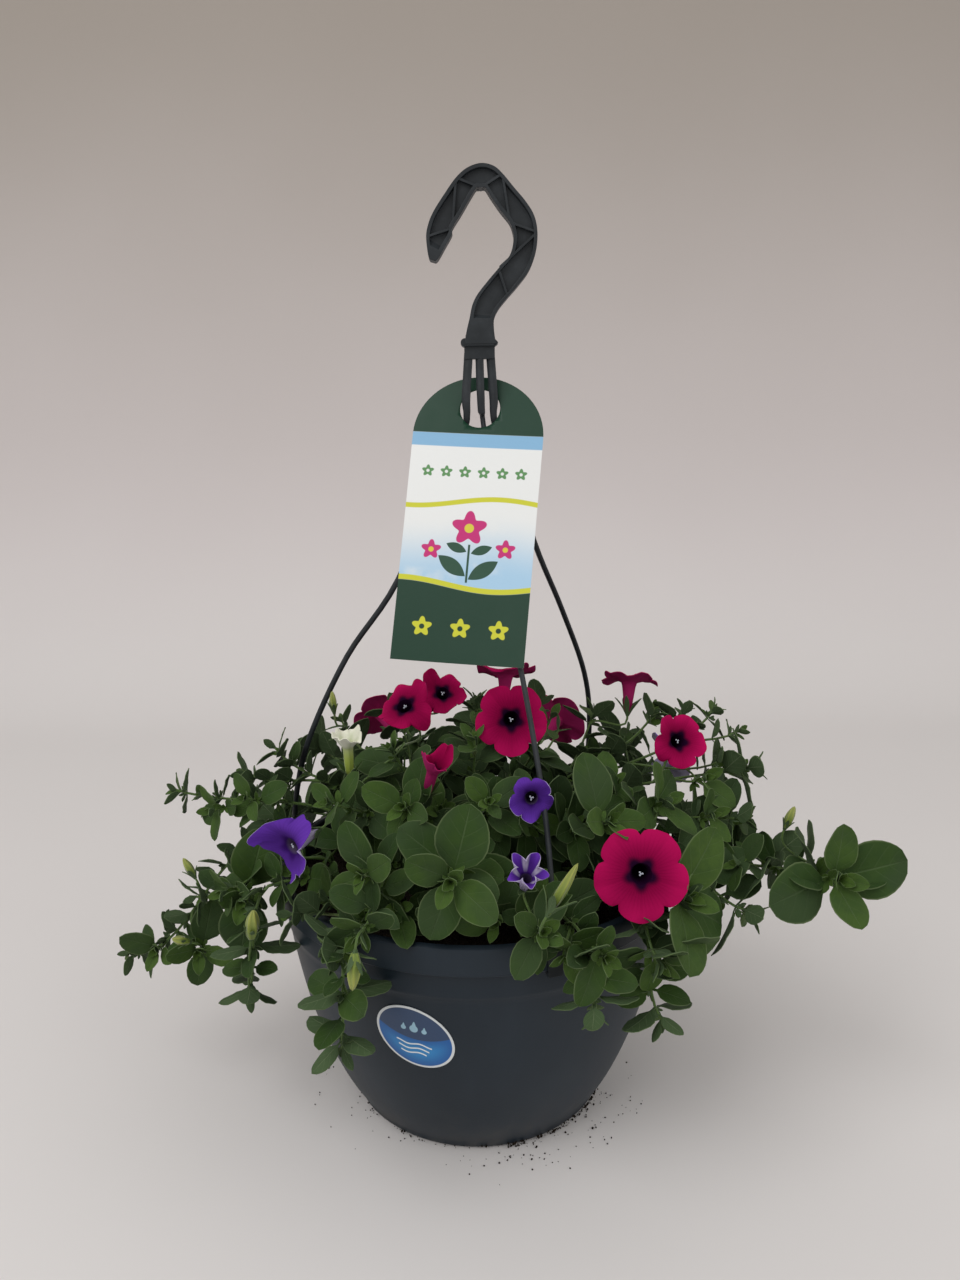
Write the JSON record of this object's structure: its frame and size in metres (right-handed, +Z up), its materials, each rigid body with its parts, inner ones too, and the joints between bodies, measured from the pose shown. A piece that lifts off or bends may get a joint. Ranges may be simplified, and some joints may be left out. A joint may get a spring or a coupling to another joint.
{
  "type": "trailing petunia in a hanging pot",
  "caption": "Trailing petunia with magenta and violet trumpet blooms in a round plastic pot, with a clip-on hanger that ends in a hook, and a hang card.",
  "frame": {"origin": "middle of the pot's flat underside, where it stands on the surface", "axes": "+Z up along the pot's axis, the hang card and the fullest side of the plant towards -Y, the long trailing shoots along -X and +X"},
  "size_m": [0.5233, 0.3688, 0.618],
  "materials": {
    "pot": "slate grey moulded plastic, satin",
    "reservoir_floor": "black recycled plastic",
    "hanger": "anthracite moulded plastic, satin",
    "card": "printed and varnished card",
    "label": "printed film, semi-gloss",
    "soil": "loose damp potting soil",
    "foliage": "soft hairy green leaf, matt",
    "petal_magenta": "velvety petal with darker veins",
    "petal_violet": "velvety petal with paler back",
    "petal_white": "unopened petal, white with a yellow-green foot"
  },
  "bodies": {
    "root": {"pot": "pot", "reservoir_floor": "reservoir_floor", "hanger": "hanger", "tag_card": "card", "label": "label", "soil": "soil", "bloom_magenta_front": "petal_magenta", "bloom_magenta_centre": "petal_magenta", "bloom_magenta_top": "petal_magenta", "bloom_magenta_left": "petal_magenta", "bloom_magenta_left_back": "petal_magenta", "bloom_magenta_folded": "petal_magenta", "bloom_magenta_right_top": "petal_magenta", "bloom_magenta_right": "petal_magenta", "bloom_magenta_back_left": "petal_magenta", "bloom_magenta_back": "petal_magenta", "bloom_violet_left": "petal_violet", "bloom_violet_front": "petal_violet", "bloom_violet_star": "petal_violet", "bloom_violet_back": "petal_violet", "bloom_white_opening": "petal_white", "shoot_left_high": "foliage", "shoot_left_top": "foliage", "shoot_left_low": "foliage", "shoot_left_hanging": "foliage", "shoot_left_far": "foliage", "shoot_back_left_top": "foliage", "shoot_front_left_top": "foliage", "shoot_front_left": "foliage", "shoot_front_middle": "foliage", "shoot_front_broad": "foliage", "shoot_front_left_low": "foliage", "shoot_front_left_hanging": "foliage", "shoot_front_right_rim": "foliage", "shoot_top_right": "foliage", "shoot_right_high": "foliage", "shoot_right_tip": "foliage", "shoot_right_upper": "foliage", "shoot_front_right_top": "foliage", "shoot_right_middle": "foliage", "shoot_right_shoulder": "foliage", "shoot_right_far": "foliage", "shoot_right_lower": "foliage", "shoot_right_broad": "foliage", "shoot_front_right_hanging": "foliage", "shoot_front_right_tip": "foliage", "shoot_top_front": "foliage", "shoot_top_left": "foliage", "shoot_top_back": "foliage", "shoot_back_left_high": "foliage", "shoot_back_right_high": "foliage", "shoot_back_left": "foliage", "shoot_back_middle_left": "foliage", "shoot_back_middle": "foliage", "shoot_back_right": "foliage", "shoot_back_left_low": "foliage", "shoot_back_low": "foliage", "shoot_back_right_low": "foliage", "shoot_right_back_low": "foliage"}
  },
  "joints": []
}
